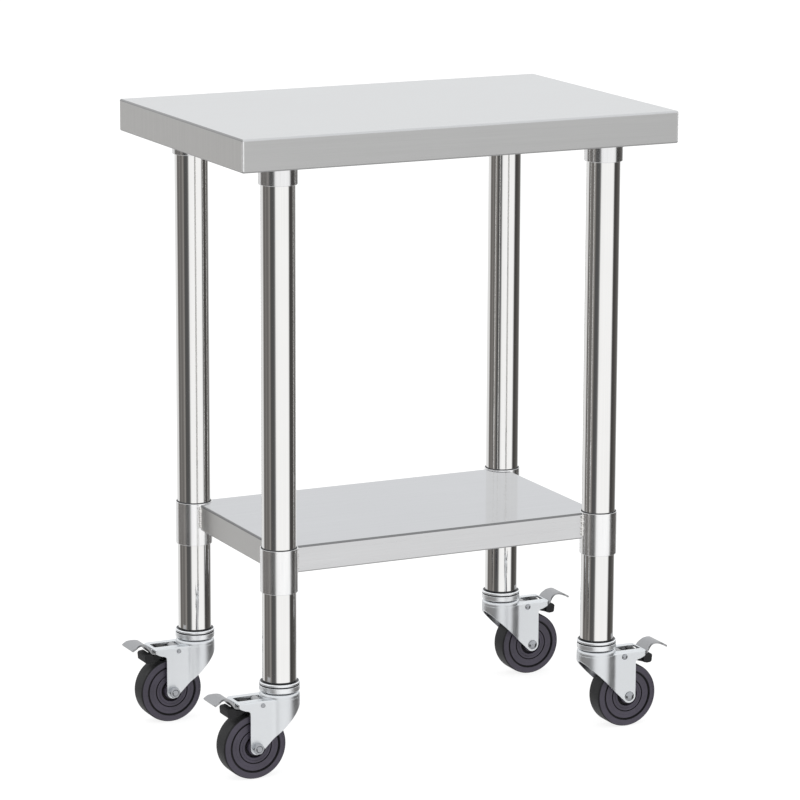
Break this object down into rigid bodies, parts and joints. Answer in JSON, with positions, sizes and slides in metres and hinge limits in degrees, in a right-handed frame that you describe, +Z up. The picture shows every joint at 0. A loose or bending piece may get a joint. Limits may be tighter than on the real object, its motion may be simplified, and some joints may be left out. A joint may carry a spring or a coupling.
{
  "type": "work table",
  "caption": "Stainless work table with a folded pan top, a height-adjustable undershelf, and tubular legs on swivel casters with foot brakes.",
  "frame": {"origin": "on the floor, under the middle of the top", "axes": "+Z up, +X along the long side of the top to the right, the front is towards -Y"},
  "size_m": [0.6564, 0.4, 0.83],
  "materials": {
    "top_sheet": "satin stainless sheet, fine grain along the length",
    "shelf_sheet": "satin stainless sheet",
    "channel_sheet": "mill-finish sheet",
    "collar_steel": "polished and slightly softened stainless",
    "tube_steel": "mirror-polished stainless tube",
    "screw_steel": "plain steel",
    "insert_steel": "plain steel",
    "zinc_plate": "bright zinc plate on pressed steel",
    "zinc_fastener": "bright zinc plate",
    "pedal_steel": "satin zinc plate",
    "wheel_core": "dark moulded wheel centre",
    "tyre_rubber": "hard black rubber tread",
    "brake_rubber": "moulded brake block"
  },
  "bodies": {
    "table": {"tabletop": "top_sheet", "top_channel_left": "channel_sheet", "top_channel_right": "channel_sheet", "leg_socket_front_left": "collar_steel", "leg_socket_front_right": "collar_steel", "leg_socket_back_left": "collar_steel", "leg_socket_back_right": "collar_steel", "socket_set_screws": "screw_steel", "leg_front_left": "tube_steel", "leg_front_right": "tube_steel", "leg_back_left": "tube_steel", "leg_back_right": "tube_steel", "leg_inserts": "insert_steel", "caster_stem_front_left": "zinc_plate", "caster_stem_front_right": "zinc_plate", "caster_stem_back_left": "zinc_plate", "caster_stem_back_right": "zinc_plate", "swivel_balls": "screw_steel"},
    "shelf": {"undershelf": "shelf_sheet", "shelf_collar_front_left": "collar_steel", "shelf_collar_front_right": "collar_steel", "shelf_collar_back_left": "collar_steel", "shelf_collar_back_right": "collar_steel", "collar_set_screws": "screw_steel"},
    "caster_front_left": {"fork_front_left": "zinc_plate", "axle_bolt_front_left": "zinc_fastener", "axle_nut_front_left": "zinc_fastener", "axle_sleeve_front_left": "insert_steel", "pedal_pin_front_left": "zinc_fastener"},
    "wheel_front_left": {"wheel_core_front_left": "wheel_core", "tyre_front_left": "tyre_rubber"},
    "brake_front_left": {"pedal_front_left": "pedal_steel", "brake_shoe_front_left": "brake_rubber"},
    "caster_front_right": {"fork_front_right": "zinc_plate", "axle_bolt_front_right": "zinc_fastener", "axle_nut_front_right": "zinc_fastener", "axle_sleeve_front_right": "insert_steel", "pedal_pin_front_right": "zinc_fastener"},
    "wheel_front_right": {"wheel_core_front_right": "wheel_core", "tyre_front_right": "tyre_rubber"},
    "brake_front_right": {"pedal_front_right": "pedal_steel", "brake_shoe_front_right": "brake_rubber"},
    "caster_back_left": {"fork_back_left": "zinc_plate", "axle_bolt_back_left": "zinc_fastener", "axle_nut_back_left": "zinc_fastener", "axle_sleeve_back_left": "insert_steel", "pedal_pin_back_left": "zinc_fastener"},
    "wheel_back_left": {"wheel_core_back_left": "wheel_core", "tyre_back_left": "tyre_rubber"},
    "brake_back_left": {"pedal_back_left": "pedal_steel", "brake_shoe_back_left": "brake_rubber"},
    "caster_back_right": {"fork_back_right": "zinc_plate", "axle_bolt_back_right": "zinc_fastener", "axle_nut_back_right": "zinc_fastener", "axle_sleeve_back_right": "insert_steel", "pedal_pin_back_right": "zinc_fastener"},
    "wheel_back_right": {"wheel_core_back_right": "wheel_core", "tyre_back_right": "tyre_rubber"},
    "brake_back_right": {"pedal_back_right": "pedal_steel", "brake_shoe_back_right": "brake_rubber"}
  },
  "joints": [
    {"name": "shelf_height", "type": "slide", "parent": "table", "child": "shelf", "axis": [0, 0, 1], "range_m": [-0.1, 0.38]},
    {"name": "swivel_front_left", "type": "hinge", "parent": "table", "child": "caster_front_left", "pos_m": [-0.23, -0.138, 0.106], "axis": [0, 0, 1], "continuous": true},
    {"name": "wheel_spin_front_left", "type": "hinge", "parent": "caster_front_left", "child": "wheel_front_left", "pos_m": [-0.27, -0.138, 0.043], "axis": [0, 1, 0], "continuous": true},
    {"name": "brake_pedal_front_left", "type": "hinge", "parent": "caster_front_left", "child": "brake_front_left", "pos_m": [-0.262, -0.138, 0.0982], "axis": [0, -1, 0], "range_deg": [0, 8]},
    {"name": "swivel_front_right", "type": "hinge", "parent": "table", "child": "caster_front_right", "pos_m": [0.23, -0.138, 0.106], "axis": [0, 0, 1], "continuous": true},
    {"name": "wheel_spin_front_right", "type": "hinge", "parent": "caster_front_right", "child": "wheel_front_right", "pos_m": [0.27, -0.138, 0.043], "axis": [0, 1, 0], "continuous": true},
    {"name": "brake_pedal_front_right", "type": "hinge", "parent": "caster_front_right", "child": "brake_front_right", "pos_m": [0.262, -0.138, 0.0982], "axis": [0, 1, 0], "range_deg": [0, 8]},
    {"name": "swivel_back_left", "type": "hinge", "parent": "table", "child": "caster_back_left", "pos_m": [-0.23, 0.138, 0.106], "axis": [0, 0, 1], "continuous": true},
    {"name": "wheel_spin_back_left", "type": "hinge", "parent": "caster_back_left", "child": "wheel_back_left", "pos_m": [-0.27, 0.138, 0.043], "axis": [0, 1, 0], "continuous": true},
    {"name": "brake_pedal_back_left", "type": "hinge", "parent": "caster_back_left", "child": "brake_back_left", "pos_m": [-0.262, 0.138, 0.0982], "axis": [0, -1, 0], "range_deg": [0, 8]},
    {"name": "swivel_back_right", "type": "hinge", "parent": "table", "child": "caster_back_right", "pos_m": [0.23, 0.138, 0.106], "axis": [0, 0, 1], "continuous": true},
    {"name": "wheel_spin_back_right", "type": "hinge", "parent": "caster_back_right", "child": "wheel_back_right", "pos_m": [0.27, 0.138, 0.043], "axis": [0, 1, 0], "continuous": true},
    {"name": "brake_pedal_back_right", "type": "hinge", "parent": "caster_back_right", "child": "brake_back_right", "pos_m": [0.262, 0.138, 0.0982], "axis": [0, 1, 0], "range_deg": [0, 8]}
  ]
}
